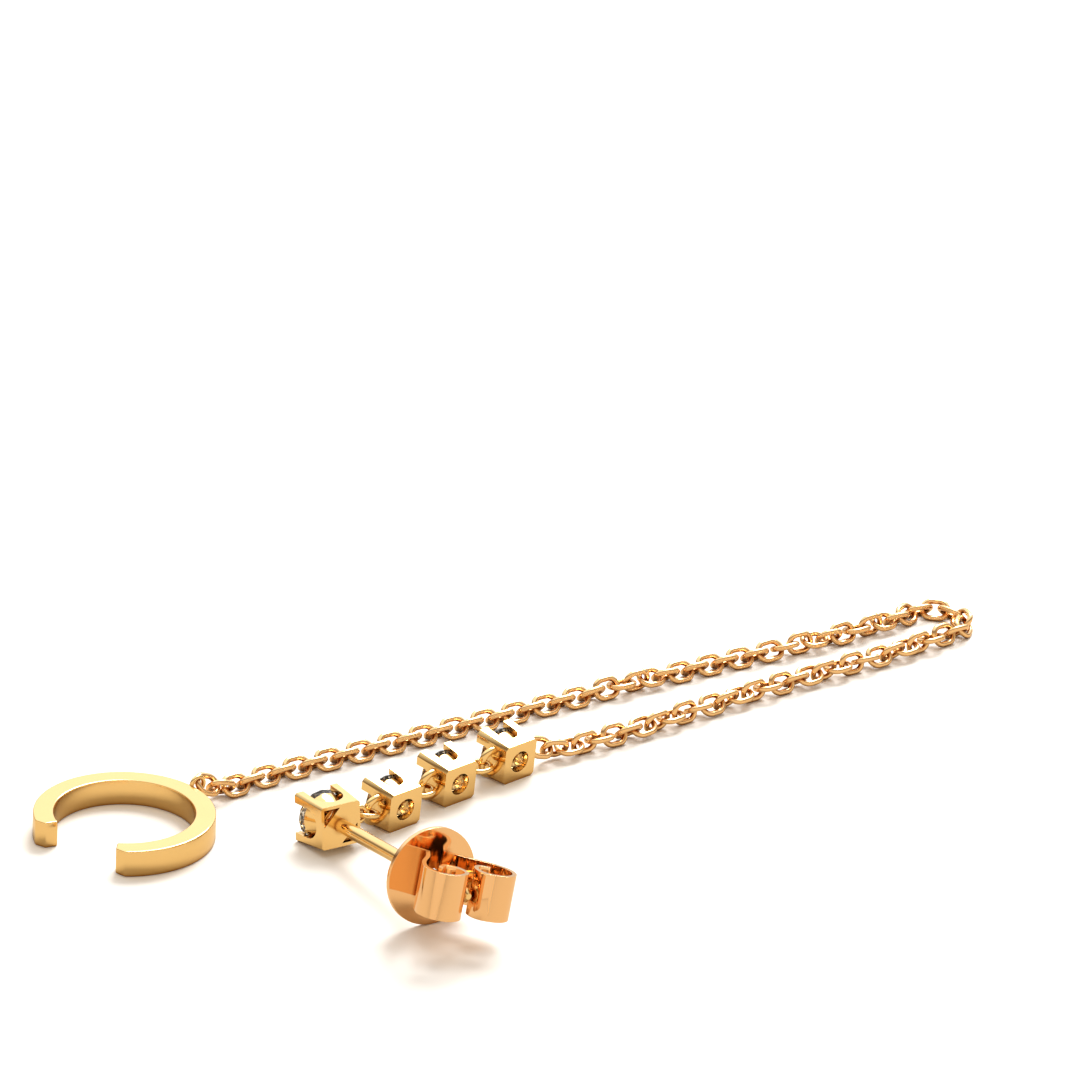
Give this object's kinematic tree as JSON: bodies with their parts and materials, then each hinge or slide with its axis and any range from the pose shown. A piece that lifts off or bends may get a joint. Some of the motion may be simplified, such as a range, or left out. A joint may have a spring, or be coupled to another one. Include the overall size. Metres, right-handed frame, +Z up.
{
  "type": "ear chain earring",
  "caption": "Ear chain earring lying flat: an open ear cuff joined by a fine cable chain to linked stone settings and a stone stud with a scroll back.",
  "frame": {"origin": "middle of the whole piece's bounding box, on the surface it lies on", "axes": "+X along the longer side of the piece as it lies, from the cuff towards the chain's bend; +Y away from the viewer; +Z up from the surface"},
  "size_m": [0.0584, 0.054, 0.0059],
  "materials": {
    "gold": "polished",
    "rose_gold": "polished",
    "stone": "polished facets"
  },
  "bodies": {
    "earring": {"ear_cuff": "gold", "chain_back": "gold", "chain_front": "gold", "small_setting_1": "gold", "small_setting_2": "gold", "small_setting_3": "gold", "jump_ring_1": "gold", "jump_ring_2": "gold", "jump_ring_3": "gold", "stud_setting": "gold", "small_stone_1": "stone", "small_stone_2": "stone", "small_stone_3": "stone", "main_stone": "stone"},
    "scroll_back": {"scroll_back": "rose_gold"}
  },
  "joints": [
    {"name": "scroll_back_slide", "type": "slide", "parent": "earring", "child": "scroll_back", "axis": [0.5615, -0.82, 0.1108], "range_m": [-0.0093, 0.0035]}
  ]
}
